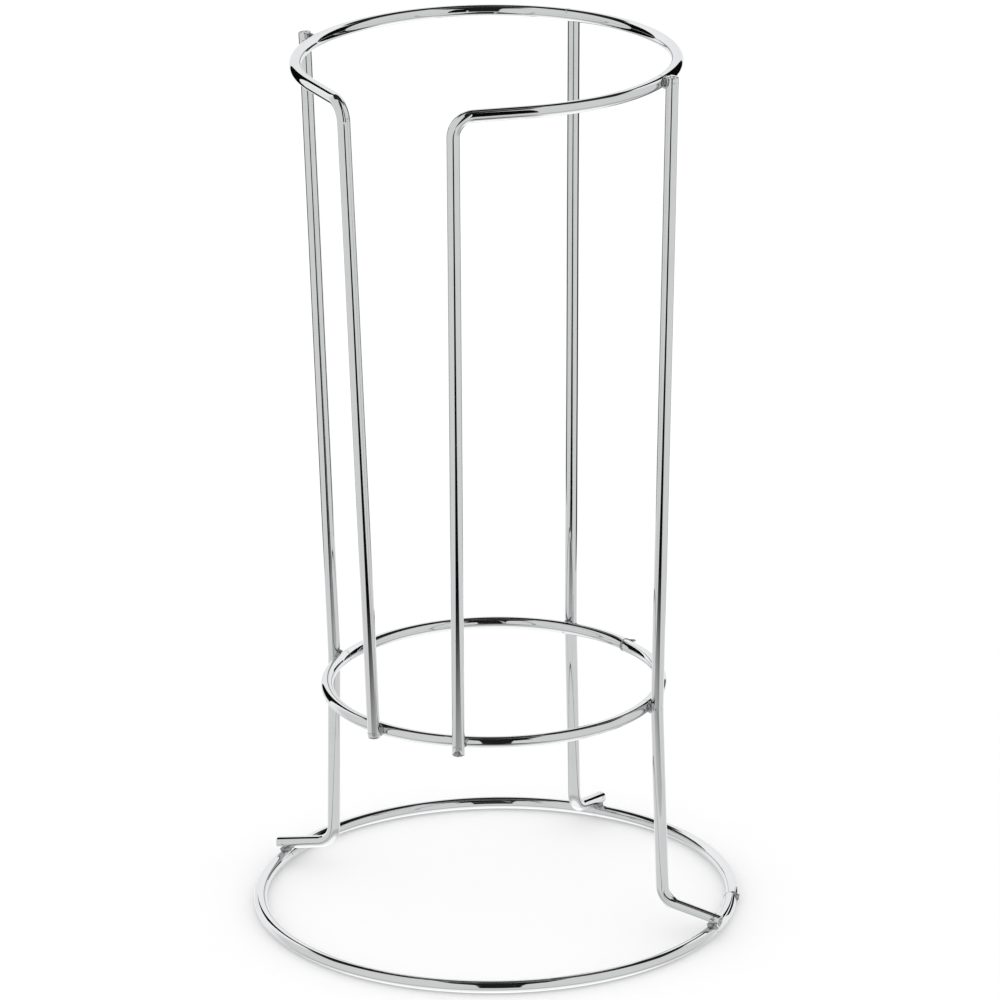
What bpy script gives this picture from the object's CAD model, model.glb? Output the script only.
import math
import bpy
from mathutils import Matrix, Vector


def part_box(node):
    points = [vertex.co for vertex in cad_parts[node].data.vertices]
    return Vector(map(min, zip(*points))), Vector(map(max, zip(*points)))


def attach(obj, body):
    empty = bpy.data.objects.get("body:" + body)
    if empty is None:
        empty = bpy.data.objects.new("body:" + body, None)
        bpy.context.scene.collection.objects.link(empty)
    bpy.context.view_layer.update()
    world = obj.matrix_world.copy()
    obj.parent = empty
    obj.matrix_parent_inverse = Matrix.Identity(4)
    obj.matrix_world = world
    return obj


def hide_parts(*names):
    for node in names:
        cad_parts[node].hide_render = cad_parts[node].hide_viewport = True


bl_info = {
    "name": "Umbrella Stand",
    "version": (1, 0, 0),
    "blender": (4, 5, 0),
    "location": "View3D > Sidebar > Stand",
    "description": "A chromed wire umbrella stand, its welds and a small studio",
    "category": "Object",
}

import bmesh
import bpy
from mathutils import Matrix, Vector, noise

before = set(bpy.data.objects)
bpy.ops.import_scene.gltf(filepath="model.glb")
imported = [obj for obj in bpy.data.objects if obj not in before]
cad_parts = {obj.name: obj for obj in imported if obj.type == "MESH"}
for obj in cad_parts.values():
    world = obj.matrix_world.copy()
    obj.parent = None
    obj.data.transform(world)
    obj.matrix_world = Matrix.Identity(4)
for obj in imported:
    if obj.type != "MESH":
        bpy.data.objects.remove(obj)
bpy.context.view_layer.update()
MM = 0.001
UP = Vector((0, 0, 1))


def to_half_mm(value):
    return round(value / (0.5 * MM)) * 0.5 * MM


def span(node, axis):
    """A CAD node's size along one axis."""
    low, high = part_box(node)
    return high[axis] - low[axis]


WIRE = to_half_mm(span("base_ring", 2))
BASE_RADIUS = to_half_mm((span("base_ring", 0) - WIRE) / 2)
SUPPORT_RADIUS = to_half_mm((span("support_ring", 0) - WIRE) / 2)
SUPPORT_HEIGHT = to_half_mm(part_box("support_ring")[0][2] + WIRE / 2)
HOOP_HEIGHT = to_half_mm(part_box("top_hoop")[1][2] - WIRE / 2)


# ---------------------------------------------------------------- settings


def length(name, default, description):
    return bpy.props.FloatProperty(
        name=name,
        description=description,
        default=default,
        unit="LENGTH",
        subtype="DISTANCE",
    )


def angle(name, degrees, description):
    return bpy.props.FloatProperty(
        name=name,
        description=description,
        default=math.radians(degrees),
        unit="ROTATION",
        subtype="ANGLE",
    )


def number(name, default, description):
    return bpy.props.FloatProperty(name=name, description=description, default=default)


def share(name, default, description):
    return bpy.props.FloatProperty(
        name=name, description=description, default=default, min=0.0, max=1.0
    )


def colour(name, default, description):
    return bpy.props.FloatVectorProperty(
        name=name,
        description=description,
        default=default,
        size=3,
        subtype="COLOR",
        min=0.0,
        max=1.0,
    )


class StandSizes(bpy.types.PropertyGroup):
    wire: length("Wire", WIRE, "Diameter of every wire")
    gap: length("Weld gap", 0.1 * MM, "Between two wires where they cross")
    base_radius: length("Base ring", BASE_RADIUS, "Radius of the base ring's centre line")
    support_radius: length("Support ring", SUPPORT_RADIUS, "Radius of its centre line")
    support_height: length("Support ring height", SUPPORT_HEIGHT, "Centre line above the floor")
    hoop_radius: length("Hoop", 102.5 * MM, "Radius of the top hoop's centre line")
    hoop_height: length("Hoop height", HOOP_HEIGHT, "Centre line above the floor")
    arm_angle: angle("Arm angle", 38.4, "From the middle of the front to where an arm starts")
    gap_top: length("Front gap, top", 64.4 * MM, "Between the uprights at the hoop")
    gap_bottom: length("Front gap, bottom", 51.2 * MM, "The same at the support ring")
    left_tail: length("Left tail", 3.2 * MM, "Left upright's end below the support ring")
    right_tail: length("Right tail", 5.6 * MM, "Right upright's end below the support ring")
    bend: length("Bend radius", 11.0 * MM, "Of every sharp bend's centre line")
    kink: length("Kink radius", 60.0 * MM, "Of the legs' slight bend at the support ring")
    foot_length: length("Foot length", 30.0 * MM, "From the leg's line out to the base ring")
    foot_overhang: length("Foot overhang", 5.5 * MM, "Cut end beyond the base ring's centre line")
    foot_slope: angle("Foot slope", 11.0, "Down towards the base ring")
    left_rise: length("Left rise", 4.2 * MM, "Left leg's end above the hoop's centre line")
    right_rise: length("Right rise", 3.6 * MM, "Right leg's end above the hoop's centre line")
    back_rise: length("Back rise", -0.4 * MM, "Back leg's end above the hoop's centre line")
    base_joint: angle("Base joint", 20.7, "Where the base ring's ends meet, from +X")
    support_joint: angle("Support joint", 62.5, "Where the support ring's ends meet, from +X")
    joint_gap: length("Joint gap", 0.3 * MM, "Between a ring's two ends")
    joint_step: length("Joint step", 1.5 * MM, "How far one end lies inside the other")
    joint_arc: angle("Joint arc", 25.0, "How far round the ring the step is spread")
    wobble: length("Wobble", 0.25 * MM, "How far a wire strays from its ideal line")
    ripple: length("Ripple", 0.012 * MM, "Height of the drawn wire's faint surface waves")


class StandFinish(bpy.types.PropertyGroup):
    chrome: colour("Chrome", (0.62, 0.625, 0.63), "Mirror plate on the wires")
    edge: colour("Edge tint", (0.78, 0.785, 0.79), "The plate at glancing angles")
    weld: colour("Weld", (0.22, 0.222, 0.225), "Plate over the rough welds")
    gloss: share("Roughness", 0.02, "Roughness of the clean plate")
    pits: share("Pits", 0.8, "How strongly pits darken the welds")


class StudioSettings(bpy.types.PropertyGroup):
    azimuth: angle("Azimuth", 26.26, "Of the camera, from the open front towards +X")
    tilt: angle("Tilt", 19.47, "Of the camera below the horizon")
    roll: angle("Roll", -0.71, "Of the camera about its line of sight")
    distance: length("Distance", 3.3795, "Of the camera from the stand's axis")
    height: length("Height", 1.43155, "Of the camera above the floor")
    lens: number("Lens", 234.97, "Focal length in millimetres")
    shift_x: number("Shift X", 0.00835, "Of the view sideways, as a share of its width")
    shift_y: number("Shift Y", -0.00045, "Of the view upwards, as a share of its width")
    floor: colour("Floor", (0.86, 0.86, 0.86), "Plain pale floor")
    light: number("Light", 1.5, "Soft light on the floor")
    walls: number("Walls", 1.2, "Brightness of the tent's walls")
    runner: length("Runner", 0.50, "Width of the dark runner in front of the stand")
    slit: share("Slit", 0.165, "Half width of the slit for the camera, as a sine")


# ------------------------------------------------------------- node wrapper


class Value:
    """A socket of a node tree. Arithmetic on it adds the Math nodes that work it out."""

    def __init__(self, nodes, node, socket):
        self.nodes = nodes
        self.node = node
        self.socket = socket

    def out(self, name):
        """Another output of the same node."""
        return Value(self.nodes, self.node, self.node.outputs[name])

    def math(self, operation, *others):
        values = dict(enumerate((self, *others)))
        return self.nodes.add("ShaderNodeMath", {"operation": operation}, values)

    def __add__(self, other):
        return self.math("ADD", other)

    def __mul__(self, other):
        return self.math("MULTIPLY", other)

    def __sub__(self, other):
        return self.math("SUBTRACT", other)

    def __rsub__(self, other):
        return (self * -1.0) + other

    def __abs__(self):
        return self.math("ABSOLUTE")

    __radd__ = __add__
    __rmul__ = __mul__

    def smooth(self, start, end, low=0.0, high=1.0):
        """Rises smoothly from low to high as the value goes from start to end."""
        values = {"Value": self, "From Min": start, "From Max": end, "To Min": low, "To Max": high}
        settings = {"interpolation_type": "SMOOTHSTEP"}
        return self.nodes.add("ShaderNodeMapRange", settings, values)


class Nodes:
    """Adds nodes to one tree."""

    def __init__(self, tree):
        self.tree = tree

    def add(self, kind, settings=None, values=None, output=0):
        """A node of this type, its settings first and then its sockets' values or links."""
        node = self.tree.nodes.new(kind)
        for name, setting in (settings or {}).items():
            setattr(node, name, setting)
        for name, value in (values or {}).items():
            socket = node.inputs[name]
            if isinstance(value, Value):
                self.tree.links.new(value.socket, socket)
            else:
                socket.default_value = value
        return Value(self, node, node.outputs[output]) if node.outputs else None

    def mix(self, amount, first, second):
        """A colour between two colours."""
        values = {0: amount, 6: colour_of(first), 7: colour_of(second)}
        return self.add("ShaderNodeMix", {"data_type": "RGBA"}, values, 2)

    def vector(self, operation, values, output=0):
        """A Vector Math node."""
        return self.add("ShaderNodeVectorMath", {"operation": operation}, values, output)

    def noise(self, place, scale, detail):
        """A noise pattern, finer as its scale rises."""
        values = {"Vector": place, "Scale": scale, "Detail": detail}
        return self.add("ShaderNodeTexNoise", {}, values)


def colour_of(value):
    return value if isinstance(value, Value) else (*value, 1.0)


def shaded(tint, amount):
    """A plain colour times an amount."""
    return [min(1.0, part * amount) for part in tint]


# ---------------------------------------------------------------- materials


def new_material(name):
    material = bpy.data.materials.new(name)
    material.use_nodes = True
    material.node_tree.nodes.clear()
    return material, Nodes(material.node_tree)


def plated_shader(nodes, finish, tint, roughness, bump):
    """Bare metal with the plate's own edge tint."""
    values = {
        "Base Color": tint,
        "Metallic": 1.0,
        "Roughness": roughness,
        "Specular Tint": colour_of(finish.edge),
        "Normal": bump,
    }
    shader = nodes.add("ShaderNodeBsdfPrincipled", {}, values)
    nodes.add("ShaderNodeOutputMaterial", {}, {"Surface": shader})


def chrome_material(finish):
    """Mirror chrome over drawn wire: faint lines along the wire, haze and tiny specks."""
    lines_round, lines_along = 9.0, 25.0
    haze_scale, haze_edge = 45.0, (0.45, 0.75)
    speck_scale, speck_edge = 900.0, (0.70, 0.78)
    haze_shade, haze_share = 0.90, 0.35
    speck_shade, speck_share = 0.55, 0.5
    haze_rough, lines_rough, speck_rough = 0.02, 0.012, 0.25
    lines_high, grain_high, speck_deep = 0.004, 0.002, 0.02
    material, nodes = new_material("mirror_chrome")
    given = {"attribute_name": "round"}
    round_the_wire = nodes.add("ShaderNodeAttribute", given, output="Vector")
    along = nodes.add("ShaderNodeAttribute", {"attribute_name": "along"}, output="Fac")
    place = nodes.add("ShaderNodeTexCoord", output="Object")
    run = nodes.add("ShaderNodeCombineXYZ", {}, {"Z": along * lines_along})
    stretch = {0: round_the_wire, 1: (lines_round, lines_round, 0.0), 2: run}
    lines = nodes.noise(nodes.vector("MULTIPLY_ADD", stretch), 1.0, 3.0)
    haze = nodes.noise(place, haze_scale, 4.0)
    specks = nodes.noise(place, speck_scale, 2.0)
    speck = specks.smooth(*speck_edge)
    cloud = haze.smooth(*haze_edge)
    tint = nodes.mix(cloud * haze_share, finish.chrome, shaded(finish.chrome, haze_shade))
    tint = nodes.mix(speck * speck_share, tint, shaded(finish.chrome, speck_shade))
    roughness = finish.gloss + cloud * haze_rough + lines * lines_rough + speck * speck_rough
    height = lines * lines_high + specks * grain_high - speck * speck_deep
    depth = {"Strength": 0.25, "Distance": MM, "Height": height}
    bump = nodes.add("ShaderNodeBump", {}, depth)
    plated_shader(nodes, finish, tint, roughness, bump)
    return material


def weld_material(finish):
    """Chrome plate over a rough weld: duller, pitted and mottled."""
    lump_scale, pore_scale = 700.0, 1300.0
    pore_edge, pitted_lumps, bright_lumps = (0.28, 0.10), (0.42, 0.62), (0.35, 0.65)
    pit_shade, bright_shade = 0.25, 1.6
    lump_high, pit_deep = 0.5, 0.6
    smoothest, roughest, pit_rough = 0.12, 0.34, 0.3
    material, nodes = new_material("plated_weld")
    place = nodes.add("ShaderNodeTexCoord", output="Object")
    lumps = nodes.noise(place, lump_scale, 4.0)
    cells = {"Vector": place, "Scale": pore_scale}
    pores = nodes.add("ShaderNodeTexVoronoi", {}, cells, "Distance")
    pit = pores.smooth(*pore_edge) * lumps.smooth(*pitted_lumps)
    bright = shaded(finish.weld, bright_shade)
    tint = nodes.mix(lumps.smooth(*bright_lumps), finish.weld, bright)
    tint = nodes.mix(pit * finish.pits, tint, shaded(finish.weld, pit_shade))
    height = lumps * lump_high - pit * pit_deep
    depth = {"Strength": 0.6, "Distance": 0.2 * MM, "Height": height}
    bump = nodes.add("ShaderNodeBump", {}, depth)
    roughness = lumps.smooth(0.3, 0.7, smoothest, roughest) + pit * pit_rough
    plated_shader(nodes, finish, tint, roughness, bump)
    return material


def matt_shader(nodes, shade):
    """A surface with no shine at all."""
    values = {"Base Color": shade, "Roughness": 1.0, "Specular IOR Level": 0.0}
    shader = nodes.add("ShaderNodeBsdfPrincipled", {}, values)
    nodes.add("ShaderNodeOutputMaterial", {}, {"Surface": shader})


def floor_material(tint):
    """Plain pale matt floor."""
    grain_scale, grain_share, grain_shade = 6.0, 0.04, 0.96
    material, nodes = new_material("studio_floor")
    place = nodes.add("ShaderNodeTexCoord", output="Object")
    grain = nodes.noise(place, grain_scale, 2.0)
    matt_shader(nodes, nodes.mix(grain * grain_share, tint, shaded(tint, grain_shade)))
    return material


# ------------------------------------------------------------- wire sweeping


def wire_tree():
    """Sweeps round wire along an edge path whose points carry their own bend radius."""
    bend_steps, stray_scale, wave_scale = 24, 9.0, 130.0
    tree = bpy.data.node_groups.new("bent_wire", "GeometryNodeTree")
    sockets = [
        ("Path", "NodeSocketGeometry", None),
        ("Wire Radius", "NodeSocketFloat", 3.5 * MM),
        ("Spacing", "NodeSocketFloat", 1.0 * MM),
        ("Sides", "NodeSocketInt", 40),
        ("Wobble", "NodeSocketFloat", 0.2 * MM),
        ("Ripple", "NodeSocketFloat", 0.01 * MM),
        ("Seed", "NodeSocketFloat", 1.0),
        ("Material", "NodeSocketMaterial", None),
    ]
    for name, kind, default in sockets:
        socket = tree.interface.new_socket(name, in_out="INPUT", socket_type=kind)
        if default is not None:
            socket.default_value = default
    tree.interface.new_socket("Wire", in_out="OUTPUT", socket_type="NodeSocketGeometry")
    nodes = Nodes(tree)
    given = nodes.add("NodeGroupInput")
    position = nodes.add("GeometryNodeInputPosition")

    named = ("GeometryNodeInputNamedAttribute", {"data_type": "FLOAT"}, {"Name": "bend"})
    path = nodes.add("GeometryNodeMeshToCurve", {}, {"Mesh": given.out("Path")})
    corners = {"Curve": path, "Count": bend_steps, "Radius": nodes.add(*named)}
    path = nodes.add("GeometryNodeFilletCurve", {"mode": "POLY"}, corners)
    even = {"Curve": path, "Length": given.out("Spacing")}
    path = nodes.add("GeometryNodeResampleCurve", {"mode": "LENGTH"}, even)
    drift = {"Vector": position, "W": given.out("Seed"), "Scale": stray_scale, "Detail": 1.0}
    stray = nodes.add("ShaderNodeTexNoise", {"noise_dimensions": "4D"}, drift, "Color")
    stray = nodes.vector("SUBTRACT", {0: stray, 1: (0.5, 0.5, 0.5)})
    stray = nodes.vector("SCALE", {0: stray, "Scale": given.out("Wobble")})
    path = nodes.add("GeometryNodeSetPosition", {}, {"Geometry": path, "Offset": stray})
    run = nodes.add("GeometryNodeSplineParameter", output="Length")
    path = stored(nodes, path, "along", "FLOAT", run)

    circle = {"Resolution": given.out("Sides"), "Radius": given.out("Wire Radius")}
    section = nodes.add("GeometryNodeCurvePrimitiveCircle", {"mode": "RADIUS"}, circle)
    unit = nodes.vector("NORMALIZE", {0: position})
    section = stored(nodes, section, "round", "FLOAT_VECTOR", unit)

    swept = {"Curve": path, "Profile Curve": section, "Fill Caps": True}
    wire = nodes.add("GeometryNodeCurveToMesh", {}, swept)
    waves = nodes.noise(position, wave_scale, 1.0) - 0.5
    lift = {0: nodes.add("GeometryNodeInputNormal"), "Scale": waves * given.out("Ripple")}
    lift = nodes.vector("SCALE", lift)
    wire = nodes.add("GeometryNodeSetPosition", {}, {"Geometry": wire, "Offset": lift})
    wire = nodes.add("GeometryNodeSetShadeSmooth", {}, {"Geometry": wire})
    wire = nodes.add("GeometryNodeRealizeInstances", {}, {"Geometry": wire})
    finish = {"Geometry": wire, "Material": given.out("Material")}
    wire = nodes.add("GeometryNodeSetMaterial", {}, finish)
    nodes.add("NodeGroupOutput", {}, {"Wire": wire})
    return tree


def stored(nodes, geometry, name, kind, value):
    """Keeps a value on every point, for the chrome to read."""
    settings = {"data_type": kind, "domain": "POINT"}
    values = {"Geometry": geometry, "Name": name, "Value": value}
    return nodes.add("GeometryNodeStoreNamedAttribute", settings, values)


def set_input(modifier, tree, name, value):
    socket = tree.interface.items_tree[name]
    modifier[socket.identifier] = value


def sweep(name, points, seed, sizes, material):
    """A wire along the points, each given as (place, bend radius), as a plain mesh."""
    tree = bpy.data.node_groups.get("bent_wire") or wire_tree()
    line = bpy.data.meshes.new(name + "_line")
    count = len(points)
    edges = [(i, i + 1) for i in range(count - 1)]
    line.from_pydata([place for place, bend in points], edges, [])
    attribute = line.attributes.new("bend", "FLOAT", "POINT")
    attribute.data.foreach_set("value", [bend for place, bend in points])
    source = bpy.data.objects.new(name + "_source", line)
    bpy.context.scene.collection.objects.link(source)
    modifier = source.modifiers.new("bent_wire", "NODES")
    modifier.node_group = tree
    inputs = {
        "Wire Radius": sizes.wire / 2,
        "Wobble": sizes.wobble,
        "Ripple": sizes.ripple,
        "Seed": float(seed),
        "Material": material,
    }
    for key, value in inputs.items():
        set_input(modifier, tree, key, value)
    evaluated = source.evaluated_get(bpy.context.evaluated_depsgraph_get())
    mesh = bpy.data.meshes.new_from_object(evaluated)
    mesh.name = name
    bpy.data.objects.remove(source)
    bpy.data.meshes.remove(line)
    return mesh


def tear(shell, centre, outward, radius, shear):
    """Tears a wire's end away on its front side, at about half a right angle."""
    front = Vector((0.3, -0.95, 0.0))
    reach = 7.0 * MM
    whole, jag_scale, jag_depth = 0.1, 700.0, 0.5
    for vertex in shell.verts:
        arm = vertex.co - centre
        depth = -arm.dot(outward)
        if depth < reach and arm.length < reach + radius:
            facing = max(0.0, arm.dot(front) / radius - whole)
            share_here = facing * (1.0 - max(0.0, depth) / reach)
            jag = 1.0 + jag_depth * noise.noise(vertex.co * jag_scale)
            vertex.co -= outward * (share_here * jag * shear)


# A cut end from its rim inwards: (share of the radius, millimetres past the rim)
CUT_RINGS = (
    (0.985, 0.12),
    (0.94, 0.24),
    (0.86, 0.30),
    (0.7, 0.32),
    (0.5, 0.33),
    (0.3, 0.33),
    (0.12, 0.33),
)
# How far the rim is set back first, in millimetres
CUT_BACK = 0.6
# Wear is full outside this share of the radius, and this much of it inside
WORN_RIM, WORN_FACE = 0.95, 0.3
# The burr's lip: how far round it starts and how far in it ends
LIP_FROM, LIP_INSIDE = 0.55, 0.6
COARSE_WEAR, FINE_WEAR, FINE_SHARE = 900.0, 2600.0, 0.4


def cut_marks(arm, side, spot, inward, rough, burr):
    """A cut end's wear and its lip at a spot of its face, both in millimetres."""
    wear = noise.noise(spot * COARSE_WEAR) * rough
    wear += noise.noise(spot * FINE_WEAR) * rough * FINE_SHARE
    on_side = max(0.0, arm.normalized().dot(side) - LIP_FROM)
    lip = on_side * burr * max(0.0, inward - LIP_INSIDE)
    return (wear if inward < WORN_RIM else wear * WORN_FACE), lip


def trim_ends(mesh, trims):
    """Turns each flat end into a cut one: a small worn edge and an uneven shear face.
    Trims are (place, roughness, burr, shear), and each goes to the end nearest to its
    place. Shear is how far back the side that faces the front is torn."""
    shell = bmesh.new()
    shell.from_mesh(mesh)
    caps = [face for face in shell.faces if len(face.verts) > 4]
    for cap in caps:
        centre = cap.calc_center_median()
        outward = cap.normal.copy()
        nearest = min(trims, key=lambda trim: (Vector(trim[0]) - centre).length)
        _, rough, burr, shear = nearest
        rim = list(cap.verts)
        shell.faces.remove(cap)
        for vertex in rim:
            vertex.co -= outward * CUT_BACK * MM
        centre -= outward * CUT_BACK * MM
        side = (rim[0].co - centre).normalized()
        radius = (rim[0].co - centre).length
        before = rim
        for inward, forward in CUT_RINGS:
            ring = []
            for vertex in rim:
                arm = vertex.co - centre
                spot = centre + arm * inward
                wear, lip = cut_marks(arm, side, spot, inward, rough, burr)
                ring.append(shell.verts.new(spot + outward * ((forward + wear + lip) * MM)))
            for i in range(len(rim)):
                j = (i + 1) % len(rim)
                shell.faces.new((before[i], before[j], ring[j], ring[i]))
            before = ring
        shell.faces.new(before)
        if shear:
            tear(shell, centre, outward, radius, shear)
    bmesh.ops.recalc_face_normals(shell, faces=shell.faces)
    for face in shell.faces:
        face.smooth = True
    shell.to_mesh(mesh)
    shell.free()


def add_piece(name, mesh, node, material):
    """Puts a finished mesh in its CAD node's place, with nothing under the floor."""
    for vertex in mesh.vertices:
        vertex.co.z = max(vertex.co.z, 0.0)
    if not mesh.materials:
        mesh.materials.append(material)
    piece = bpy.data.objects.new(name, mesh)
    bpy.context.scene.collection.objects.link(piece)
    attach(piece, "root")
    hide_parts(node)
    return piece


def flat_spot(around, radius=1.0):
    """A place at this angle round the stand, level with the floor."""
    return Vector((radius * math.cos(around), radius * math.sin(around), 0))


def ring_line(radius, height, joint, sizes):
    """Points round a ring. The last stretch is rolled tighter, to end inside the start."""
    tight = radius - sizes.joint_step / (1 - math.cos(sizes.joint_arc))
    gap = sizes.joint_gap / 2 / radius
    across = radius - tight + tight * math.cos(sizes.joint_arc)
    turn = 2 * math.pi - gap - math.atan2(tight * math.sin(sizes.joint_arc), across)
    points = []
    plain_steps = 700
    for step in range(plain_steps + 1):
        around = gap + (turn - gap) * step / plain_steps
        points.append(flat_spot(around, radius))
    centre = flat_spot(turn) * (radius - tight)
    tight_steps = 60
    for step in range(1, tight_steps + 1):
        around = turn + sizes.joint_arc * step / tight_steps
        points.append(centre + flat_spot(around, tight))
    place = Matrix.Translation((0, 0, height)) @ Matrix.Rotation(joint, 4, "Z")
    return [(place @ point, 0.0) for point in points]


def crossing(sizes):
    """Between the centre lines of two wires that cross."""
    return sizes.wire + sizes.gap


def leg_lean(sizes):
    """How far a leg leans out for each metre it climbs."""
    climb = sizes.hoop_height - sizes.support_height
    return (sizes.hoop_radius - sizes.support_radius) / climb


def leg_line(azimuth, rise, sizes):
    """A leg's corners, from its top to the end of its foot."""
    slope = sizes.foot_slope
    cross = crossing(sizes)
    on_base_r = sizes.base_radius + math.sin(slope) * cross
    on_base_z = sizes.wire / 2 + math.cos(slope) * cross

    def foot_z(r):
        return on_base_z - (r - on_base_r) * math.tan(slope)

    corner = sizes.base_radius - sizes.foot_length
    end = sizes.base_radius + sizes.foot_overhang
    top = sizes.hoop_radius + cross + rise * leg_lean(sizes)
    flat = [
        (top, sizes.hoop_height + rise, 0.0),
        (sizes.support_radius + cross, sizes.support_height, sizes.kink),
        (corner, foot_z(corner), sizes.bend),
        (end, foot_z(end), 0.0),
    ]
    out = flat_spot(azimuth)
    return [(out * r + UP * z, bend) for r, z, bend in flat]


def upright_foot(side, sizes):
    """Where an upright's centre line passes the support ring."""
    passing = sizes.support_radius + crossing(sizes)
    across = sizes.gap_bottom / 2
    return Vector((side * across, -math.sqrt(passing**2 - across**2), sizes.support_height))


def upright_line(side, tail, sizes):
    """An upright's tail, its corner with the arm, and where the arm leaves the hoop."""
    arm = sizes.arm_angle
    radius = sizes.hoop_radius
    arm_length = (radius * math.sin(arm) - sizes.gap_top / 2) / math.cos(arm)
    away = Vector((side * radius * math.sin(arm), -radius * math.cos(arm), sizes.hoop_height))
    corner_y = -radius * math.cos(arm) - arm_length * math.sin(arm)
    corner = Vector((side * sizes.gap_top / 2, corner_y, sizes.hoop_height))
    foot = upright_foot(side, sizes)
    end = foot + (foot - corner) * (tail / (corner.z - foot.z))
    return [(end, 0.0), (corner, sizes.bend), (away, 0.0)]


def hoop_line(sizes):
    """The whole top wire, from the left upright's end to the right one's."""
    left = upright_line(-1, sizes.left_tail, sizes)
    right = upright_line(1, sizes.right_tail, sizes)
    start = -math.pi / 2 - sizes.arm_angle
    sweep_angle = 2 * math.pi - 2 * sizes.arm_angle
    steps = 600
    round_part = []
    for step in range(1, steps):
        around = start - sweep_angle * step / steps
        spot = flat_spot(around) * sizes.hoop_radius
        round_part.append((spot + UP * sizes.hoop_height, 0.0))
    return left + round_part + right[::-1]


# -------------------------------------------------------------------- welds


def add_stub(shell, place, direction, reach, radius, proud, spread):
    """A short sleeve round a wire, fullest in its middle and sunk at both ends."""
    turn = direction.to_track_quat("Z", "Y").to_matrix().to_4x4()
    frame_here = Matrix.Translation(place) @ turn
    sides, steps = 32, 24
    sunk = 0.3 * MM
    rings = []
    for step in range(steps + 1):
        run = reach[0] + (reach[1] - reach[0]) * step / steps
        swell = radius - sunk + (sunk + proud) * math.exp(-((run / spread) ** 2))
        ring = []
        for i in range(sides):
            around = 2 * math.pi * i / sides
            spot = Vector((swell * math.cos(around), swell * math.sin(around), run))
            ring.append(shell.verts.new(frame_here @ spot))
        rings.append(ring)
    for low, high in zip(rings, rings[1:]):
        for i in range(sides):
            j = (i + 1) % sides
            shell.faces.new((low[i], low[j], high[j], high[i]))
    shell.faces.new(rings[0][::-1])
    shell.faces.new(rings[-1])


def add_ball(shell, place, axes, radii):
    """A ball stretched along three given directions."""
    turn = Matrix(axes).transposed().to_4x4()
    stretch = Matrix.Diagonal((*radii, 1.0))
    matrix = Matrix.Translation(place) @ turn @ stretch
    bmesh.ops.create_icosphere(shell, subdivisions=4, radius=1.0, matrix=matrix)


def melt(name, shell, grain, roughness, voxel=0.25 * MM):
    """Runs the shapes of a weld together into one uneven bead."""
    relax_passes, fine_grain, fine_share = 7, 0.4, 0.5
    mesh = bpy.data.meshes.new(name + "_rough")
    shell.to_mesh(mesh)
    shell.free()
    source = bpy.data.objects.new(name + "_source", mesh)
    bpy.context.scene.collection.objects.link(source)
    remesh = source.modifiers.new("melt", "REMESH")
    remesh.mode = "VOXEL"
    remesh.voxel_size = voxel
    relax = source.modifiers.new("relax", "SMOOTH")
    relax.factor = 0.5
    relax.iterations = relax_passes
    evaluated = source.evaluated_get(bpy.context.evaluated_depsgraph_get())
    bead = bpy.data.meshes.new_from_object(evaluated)
    bead.name = name
    bpy.data.objects.remove(source)
    bpy.data.meshes.remove(mesh)
    normals = [vertex.normal.copy() for vertex in bead.vertices]
    for vertex, normal in zip(bead.vertices, normals):
        spot = vertex.co
        lump = noise.noise(spot / grain)
        lump += fine_share * noise.noise(spot / (grain * fine_grain))
        vertex.co = spot + normal * (lump * roughness)
    for polygon in bead.polygons:
        polygon.use_smooth = True
    return bead


# A nugget reaches this many millimetres along each of its two wires
REACH = 5.0
NUGGET = 3.5 * MM
NUGGET_DEPTH = 2.5 * MM


def crossing_weld(name, contact, normal, lower, upper, sizes, reach, tall=NUGGET):
    """The nugget between two crossing wires. Normal goes from the lower to the upper.
    Reach is how far it goes down and up the upper wire, in millimetres."""
    shell = bmesh.new()
    half = crossing(sizes) / 2
    radius = sizes.wire / 2
    proud, spread = -0.04 * MM, 2.2 * MM
    arms = [
        (contact - normal * half, lower, (-REACH, REACH)),
        (contact + normal * half, upper, reach),
    ]
    for place, direction, (low, high) in arms:
        add_stub(shell, place, direction, (low * MM, high * MM), radius, proud, spread)
    across = normal.cross(lower).normalized()
    add_ball(shell, contact, (lower.normalized(), across, normal), (NUGGET, tall, NUGGET_DEPTH))
    return melt(name, shell, grain=0.9 * MM, roughness=0.22 * MM)


def joint_weld(name, radius, height, joint, sizes, spur):
    """The two lips of a ring's joint with the crack between them, and its small spur.
    A spur is (direction, half length, root), and its root is out, along and up from the
    joint's middle, in millimetres."""
    shell = bmesh.new()
    out = flat_spot(joint)
    along = Vector((-out.y, out.x, 0))
    wire = sizes.wire / 2
    start = out * radius + UP * height
    end = out * (radius - sizes.joint_step) + UP * height
    near, far = 0.1 * MM, 2.4 * MM
    proud, spread = -0.05 * MM, 1.6 * MM
    add_stub(shell, start, along, (near, far), wire, proud, spread)
    add_stub(shell, end, along, (-far, -near), wire, proud, spread)
    core = out * (radius - sizes.joint_step / 2) + UP * height
    from_crack = along * 0.75 * MM
    lumps = [
        (core, (3.3 * MM, 1.0 * MM, 3.1 * MM)),
        (start + from_crack, (3.75 * MM, 0.65 * MM, 3.45 * MM)),
        (end - from_crack, (3.6 * MM, 0.6 * MM, 3.45 * MM)),
    ]
    for place, radii in lumps:
        add_ball(shell, place, (out, along, UP), radii)
    direction, half, root = spur
    side = direction.cross(UP).normalized()
    up = side.cross(direction).normalized()
    lift = core + out * root[0] * MM + along * root[1] * MM + UP * root[2] * MM
    middle = lift + direction * half * 0.6
    add_ball(shell, middle, (direction, side, up), (half, 0.95 * MM, 0.9 * MM))
    return melt(name, shell, grain=0.8 * MM, roughness=0.16 * MM, voxel=0.2 * MM)


# ---------------------------------------------------------------- operators


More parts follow.
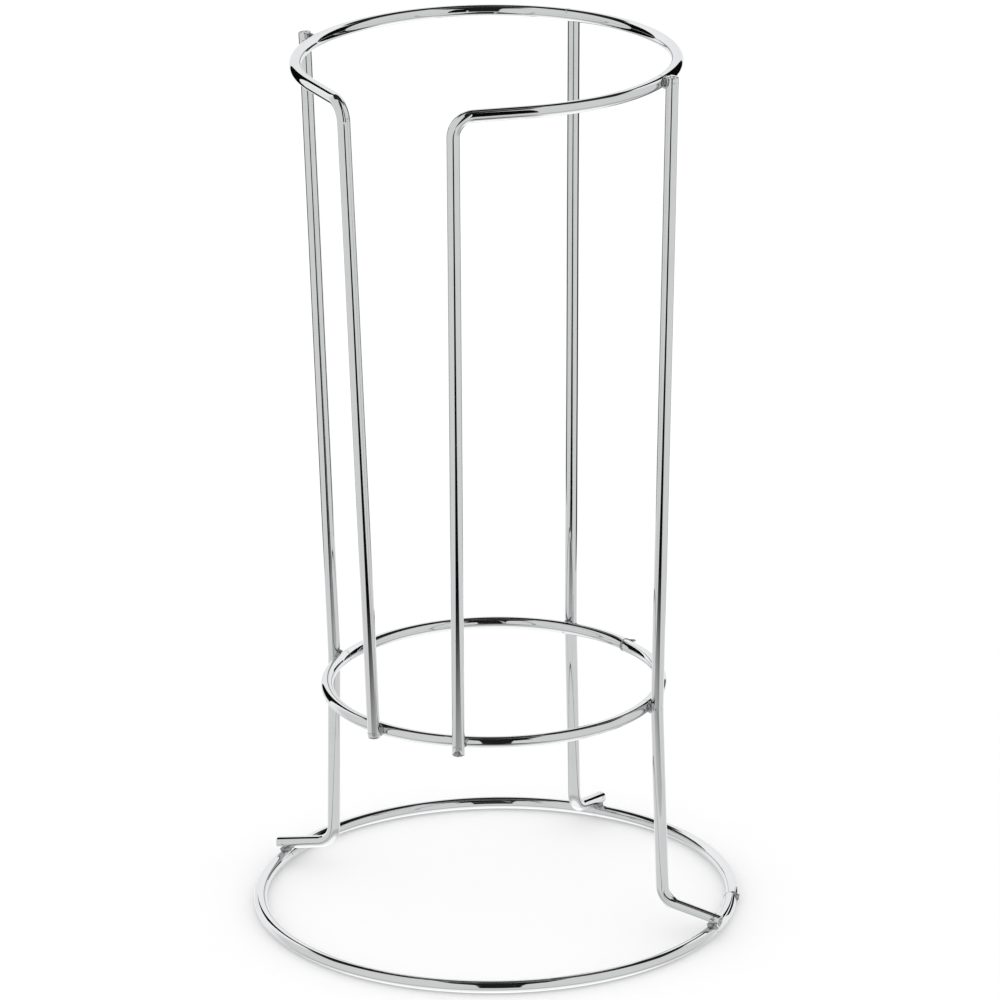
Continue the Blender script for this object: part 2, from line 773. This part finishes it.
def finishes():
    """The stand's two materials, made once."""
    finish = bpy.context.scene.stand_finish
    chrome = bpy.data.materials.get("mirror_chrome") or chrome_material(finish)
    weld = bpy.data.materials.get("plated_weld") or weld_material(finish)
    return chrome, weld


def base_ring(sizes):
    """The base ring's node, radius, height and joint."""
    return "base_ring", sizes.base_radius, sizes.wire / 2, sizes.base_joint


def support_ring(sizes):
    """The support ring's node, radius, height and joint."""
    return "support_ring", sizes.support_radius, sizes.support_height, sizes.support_joint


class STAND_OT_rings(bpy.types.Operator):
    """Makes the base ring and the support ring"""

    bl_idname = "stand.rings"
    bl_label = "Rings"

    def execute(self, context):
        sizes = context.scene.stand_sizes
        chrome, _ = finishes()
        rings = [(*base_ring(sizes), 3), (*support_ring(sizes), 5)]
        for node, radius, height, joint, seed in rings:
            line = ring_line(radius, height, joint, sizes)
            mesh = sweep(node + "_wire", line, seed, sizes, chrome)
            trim_ends(mesh, [(line[0][0], 0.02, 0.0, 0.0)])
            add_piece(node + "_wire", mesh, node, chrome)
        return {"FINISHED"}


class STAND_OT_top_hoop(bpy.types.Operator):
    """Makes the top hoop with both of its uprights"""

    bl_idname = "stand.top_hoop"
    bl_label = "Top hoop"

    def execute(self, context):
        sizes = context.scene.stand_sizes
        chrome, _ = finishes()
        line = hoop_line(sizes)
        mesh = sweep("top_hoop_wire", line, 11, sizes, chrome)
        left_end = (line[0][0], 0.10, 0.3, 1.2 * MM)
        torn_right_end = (line[-1][0], 0.38, 0.8, 3.6 * MM)
        trim_ends(mesh, [left_end, torn_right_end])
        add_piece("top_hoop_wire", mesh, "top_hoop", chrome)
        return {"FINISHED"}


def legs(sizes):
    """Each leg's node, azimuth, rise above the hoop and seed."""
    return [
        ("right_leg", 0.0, sizes.right_rise, 17),
        ("back_leg", math.pi / 2, sizes.back_rise, 23),
        ("left_leg", math.pi, sizes.left_rise, 29),
    ]


class STAND_OT_legs(bpy.types.Operator):
    """Makes the three legs"""

    bl_idname = "stand.legs"
    bl_label = "Legs"

    def execute(self, context):
        sizes = context.scene.stand_sizes
        chrome, _ = finishes()
        for node, azimuth, rise, seed in legs(sizes):
            line = leg_line(azimuth, rise, sizes)
            mesh = sweep(node + "_wire", line, seed, sizes, chrome)
            top_end = (line[0][0], 0.2, 1.4, 0.0)
            foot_end = (line[-1][0], 0.16, 0.4, 0.0)
            trim_ends(mesh, [top_end, foot_end])
            add_piece(node + "_wire", mesh, node, chrome)
        return {"FINISHED"}


class STAND_OT_leg_welds(bpy.types.Operator):
    """Makes the nuggets that join each leg to the hoop and to both rings"""

    bl_idname = "stand.leg_welds"
    bl_label = "Leg welds"

    def execute(self, context):
        sizes = context.scene.stand_sizes
        _, weld = finishes()
        half = crossing(sizes) / 2
        slope = sizes.foot_slope
        for leg, azimuth, rise, seed in legs(sizes):
            out = flat_spot(azimuth)
            ring_run = Vector((-out.y, out.x, 0))
            leg_run = (UP + out * leg_lean(sizes)).normalized()
            foot_run = out * math.cos(slope) - UP * math.sin(slope)
            foot_up = out * math.sin(slope) + UP * math.cos(slope)
            at_hoop = out * (sizes.hoop_radius + half) + UP * sizes.hoop_height
            at_ring = out * (sizes.support_radius + half) + UP * sizes.support_height
            at_base = out * sizes.base_radius + UP * sizes.wire / 2 + foot_up * half
            top_reach = (-REACH, min(REACH, rise / MM - 0.2))
            foot_reach = (-REACH, 4.0)
            top_tall = min(NUGGET, 2.7 * MM + rise)
            beads = [
                ("hoop_weld", at_hoop, out, leg_run, top_reach, top_tall),
                ("ring_weld", at_ring, out, UP, (-REACH, REACH), NUGGET),
                ("base_weld", at_base, foot_up, foot_run, foot_reach, NUGGET),
            ]
            for part, contact, normal, run, reach, tall in beads:
                node = "%s_%s" % (leg, part)
                bead = node + "_bead"
                mesh = crossing_weld(bead, contact, normal, ring_run, run, sizes, reach, tall)
                add_piece(bead, mesh, node, weld)
        return {"FINISHED"}


class STAND_OT_upright_welds(bpy.types.Operator):
    """Makes the nuggets that join both uprights to the support ring"""

    bl_idname = "stand.upright_welds"
    bl_label = "Upright welds"

    def execute(self, context):
        sizes = context.scene.stand_sizes
        _, weld = finishes()
        tails = (("left", -1, sizes.left_tail), ("right", 1, sizes.right_tail))
        for name, side, tail in tails:
            foot = upright_foot(side, sizes)
            out = Vector((foot.x, foot.y, 0)).normalized()
            ring_run = Vector((-out.y, out.x, 0))
            line = upright_line(side, tail, sizes)
            run = (line[1][0] - line[0][0]).normalized()
            outside = sizes.support_radius + crossing(sizes) / 2
            contact = out * outside + UP * sizes.support_height
            node = name + "_upright_weld"
            bead = node + "_bead"
            reach = (-min(REACH, tail / MM - 0.2), REACH)
            mesh = crossing_weld(bead, contact, out, ring_run, run, sizes, reach)
            add_piece(bead, mesh, node, weld)
        return {"FINISHED"}


class STAND_OT_joint_welds(bpy.types.Operator):
    """Makes the beads that close both rings"""

    bl_idname = "stand.joint_welds"
    bl_label = "Joint welds"

    def execute(self, context):
        sizes = context.scene.stand_sizes
        _, weld = finishes()
        tip = sizes.support_joint - math.radians(36.0)
        tip_slope = 0.05
        long_way = Vector((math.cos(tip), math.sin(tip), tip_slope)).normalized()
        short_spur = (flat_spot(sizes.base_joint), 1.1 * MM, (2.9, 0.9, 1.2))
        long_spur = (long_way, 3.3 * MM, (1.4, 0.2, 1.9))
        joints = [(*base_ring(sizes), short_spur), (*support_ring(sizes), long_spur)]
        for ring, radius, height, joint, spur in joints:
            node = ring + "_joint_weld"
            mesh = joint_weld(node + "_bead", radius, height, joint, sizes, spur)
            add_piece(node + "_bead", mesh, node, weld)
        return {"FINISHED"}


def front_and_right(studio):
    """The level directions from the stand towards the camera and to its right."""
    front = Vector((math.sin(studio.azimuth), -math.cos(studio.azimuth), 0))
    return front, Vector((-front.y, front.x, 0))


# Where the tent's light changes, in degrees up from level and round from the front
CROWN = (68.0, 76.0)
TABLE = (-46.0, -56.0)
TABLE_EDGE = ((-46.0, -38.0), (-24.0, -31.0))
BACKDROP = (114.0, 132.0)
SLIT_FLARE = (48.0, 62.0)
SLIT_BOTTOM = (-5.0, -1.0)
ROOF_GAP = ((97.0, 103.0), (41.0, 45.0))


def studio_world(studio):
    """A light tent as a mirror sees it: even walls, a slit for the camera in front and a
    dark gap in the roof behind. Everything but a mirror sees plain soft white."""
    crown_light, table_light, backdrop_light, edge_dark = 0.5, 0.6, 0.5, 0.35
    slit_aside, slit_blur, slit_flare, darkness = 0.02, 0.01, 1.7, 0.98
    world = bpy.data.worlds.new("studio")
    bpy.context.scene.world = world
    world.use_nodes = True
    world.cycles.sampling_method = "NONE"
    world.node_tree.nodes.clear()
    nodes = Nodes(world.node_tree)
    direction = nodes.add("ShaderNodeTexCoord", output="Generated")
    toward, right = front_and_right(studio)
    front = nodes.vector("DOT_PRODUCT", {0: direction, 1: toward}, "Value")
    aside = nodes.vector("DOT_PRODUCT", {0: direction, 1: right}, "Value")
    height = nodes.add("ShaderNodeSeparateXYZ", {}, {0: direction}, "Z")
    degrees = 180 / math.pi
    around = abs(aside).math("ARCTAN2", front) * degrees
    above = height.math("ARCSINE") * degrees

    crown = above.smooth(*CROWN) * crown_light
    table = above.smooth(*TABLE) * table_light
    table_edge = above.smooth(*TABLE_EDGE[0]) * above.smooth(*TABLE_EDGE[1]) * edge_dark
    backdrop = around.smooth(*BACKDROP) * backdrop_light
    glow = crown + table - table_edge + backdrop + studio.walls
    half = above.smooth(*SLIT_FLARE, studio.slit, studio.slit * slit_flare)
    slit = (half - abs(aside - slit_aside)).smooth(-slit_blur, slit_blur)
    slit = slit * front.smooth(-0.02, 0.02) * above.smooth(*SLIT_BOTTOM)
    roof_gap = around.smooth(*ROOF_GAP[0]) * above.smooth(*ROOF_GAP[1])
    for gap in (slit, roof_gap):
        glow = glow * (1.0 - gap * darkness)
    tent = nodes.add("ShaderNodeBackground", {}, {"Strength": glow})
    plain = nodes.add("ShaderNodeBackground", {}, {"Strength": studio.light})
    mirrored = nodes.add("ShaderNodeLightPath", output="Is Glossy Ray")
    shader = nodes.add("ShaderNodeMixShader", {}, {0: mirrored, 1: plain, 2: tent})
    nodes.add("ShaderNodeOutputWorld", {}, {"Surface": shader})


BLACK, PALE = 0.004, 0.6
# Metres from the stand's foot over which the runner goes from pale to black
RUNNER_FADE = (0.25, 0.60)
RUNNER_NEAR, RUNNER_FAR = 0.22, 3.2
# Upright cards: (right, back) of one side and of the other, then bottom and top
UPRIGHT_CARDS = (
    ((-0.270, 0.137), (-0.250, 0.320), 0.10, 0.90),
    ((0.2435, 0.107), (0.232, 0.290), 0.09, 0.80),
    ((1.460, 1.360), (0.930, 1.770), 0.00, 0.53),
    ((0.103, -0.433), (0.191, -0.390), 0.455, 1.09),
)


def card_material(name, near_shade):
    """Black paper, which may start paler close to the stand."""
    material, nodes = new_material(name)
    place = nodes.add("ShaderNodeTexCoord", output="Object")
    distance = nodes.vector("LENGTH", {0: place}, "Value")
    fade = distance.smooth(*RUNNER_FADE)
    matt_shader(nodes, nodes.mix(fade, [near_shade] * 3, [BLACK] * 3))
    return material


def black_cards(studio):
    """Dark cards that only show in the wires: a runner on the table, from near the stand
    to the camera, two upright ones close behind the stand, a wide one far behind it to
    the right, and a narrow one hung in front."""
    toward, right = front_and_right(studio)
    half = studio.runner / 2
    sheets = [
        [
            toward * RUNNER_NEAR - right * half,
            toward * RUNNER_FAR - right * half,
            toward * RUNNER_FAR + right * half,
            toward * RUNNER_NEAR + right * half,
        ]
    ]
    for (x0, y0), (x1, y1), low, top in UPRIGHT_CARDS:
        foot = right * x0 - toward * y0
        back = right * x1 - toward * y1
        sheets.append([foot + UP * low, back + UP * low, back + UP * top, foot + UP * top])
    above_floor = UP * MM
    spots = [spot + above_floor for sheet in sheets for spot in sheet]
    faces = [tuple(range(4 * i, 4 * i + 4)) for i in range(len(sheets))]
    mesh = bpy.data.meshes.new("studio_cards")
    mesh.from_pydata(spots, [], faces)
    mesh.materials.append(card_material("dark_runner", PALE))
    mesh.materials.append(card_material("black_card", BLACK))
    for polygon in mesh.polygons:
        polygon.material_index = min(1, polygon.index)
    cards = bpy.data.objects.new("studio_cards", mesh)
    cards.visible_camera = False
    cards.visible_diffuse = False
    cards.visible_shadow = False
    bpy.context.scene.collection.objects.link(cards)


def pale_floor(studio):
    """A round floor that the wires don't mirror."""
    shell = bmesh.new()
    bmesh.ops.create_circle(shell, cap_ends=True, segments=96, radius=14.0)
    mesh = bpy.data.meshes.new("studio_floor")
    shell.to_mesh(mesh)
    shell.free()
    mesh.materials.append(floor_material(studio.floor))
    floor = bpy.data.objects.new("studio_floor", mesh)
    floor.visible_glossy = False
    bpy.context.scene.collection.objects.link(floor)


def studio_camera(studio):
    lens = bpy.data.cameras.new("camera")
    lens.lens = studio.lens
    lens.shift_x = studio.shift_x
    lens.shift_y = studio.shift_y
    lens.clip_start, lens.clip_end = 0.05, 60.0
    camera = bpy.data.objects.new("camera", lens)
    bpy.context.scene.collection.objects.link(camera)
    toward, _ = front_and_right(studio)
    look = -toward * math.cos(studio.tilt) - UP * math.sin(studio.tilt)
    turn = look.to_track_quat("-Z", "Y").to_matrix().to_4x4()
    place = Matrix.Translation(toward * studio.distance + UP * studio.height)
    camera.matrix_world = place @ turn @ Matrix.Rotation(studio.roll, 4, "Z")
    bpy.context.scene.camera = camera


class STAND_OT_studio(bpy.types.Operator):
    """Makes the light tent, its dark cards, the floor and the camera"""

    bl_idname = "stand.studio"
    bl_label = "Studio"

    def execute(self, context):
        studio = context.scene.stand_studio
        studio_world(studio)
        black_cards(studio)
        pale_floor(studio)
        studio_camera(studio)
        context.scene.view_settings.view_transform = "Standard"
        return {"FINISHED"}


class STAND_PT_panel(bpy.types.Panel):
    """Lists the pieces of the umbrella stand"""

    bl_idname = "STAND_PT_panel"
    bl_label = "Umbrella Stand"
    bl_space_type = "VIEW_3D"
    bl_region_type = "UI"
    bl_category = "Stand"

    def draw(self, context):
        scene = context.scene
        for operator in OPERATORS:
            self.layout.operator(operator.bl_idname)
        for group in (scene.stand_sizes, scene.stand_finish, scene.stand_studio):
            box = self.layout.box()
            for name in group.__annotations__:
                box.prop(group, name)


GROUPS = (StandSizes, StandFinish, StudioSettings)
OPERATORS = (
    STAND_OT_rings,
    STAND_OT_top_hoop,
    STAND_OT_legs,
    STAND_OT_leg_welds,
    STAND_OT_upright_welds,
    STAND_OT_joint_welds,
    STAND_OT_studio,
)


def register():
    for kind in (*GROUPS, *OPERATORS, STAND_PT_panel):
        bpy.utils.register_class(kind)
    bpy.types.Scene.stand_sizes = bpy.props.PointerProperty(type=StandSizes)
    bpy.types.Scene.stand_finish = bpy.props.PointerProperty(type=StandFinish)
    bpy.types.Scene.stand_studio = bpy.props.PointerProperty(type=StudioSettings)


def unregister():
    for name in ("stand_sizes", "stand_finish", "stand_studio"):
        delattr(bpy.types.Scene, name)
    for kind in reversed((*GROUPS, *OPERATORS, STAND_PT_panel)):
        bpy.utils.unregister_class(kind)


def main():
    register()
    for operator in OPERATORS:
        category, name = operator.bl_idname.split(".")
        getattr(getattr(bpy.ops, category), name)()


if __name__ == "__main__":
    main()
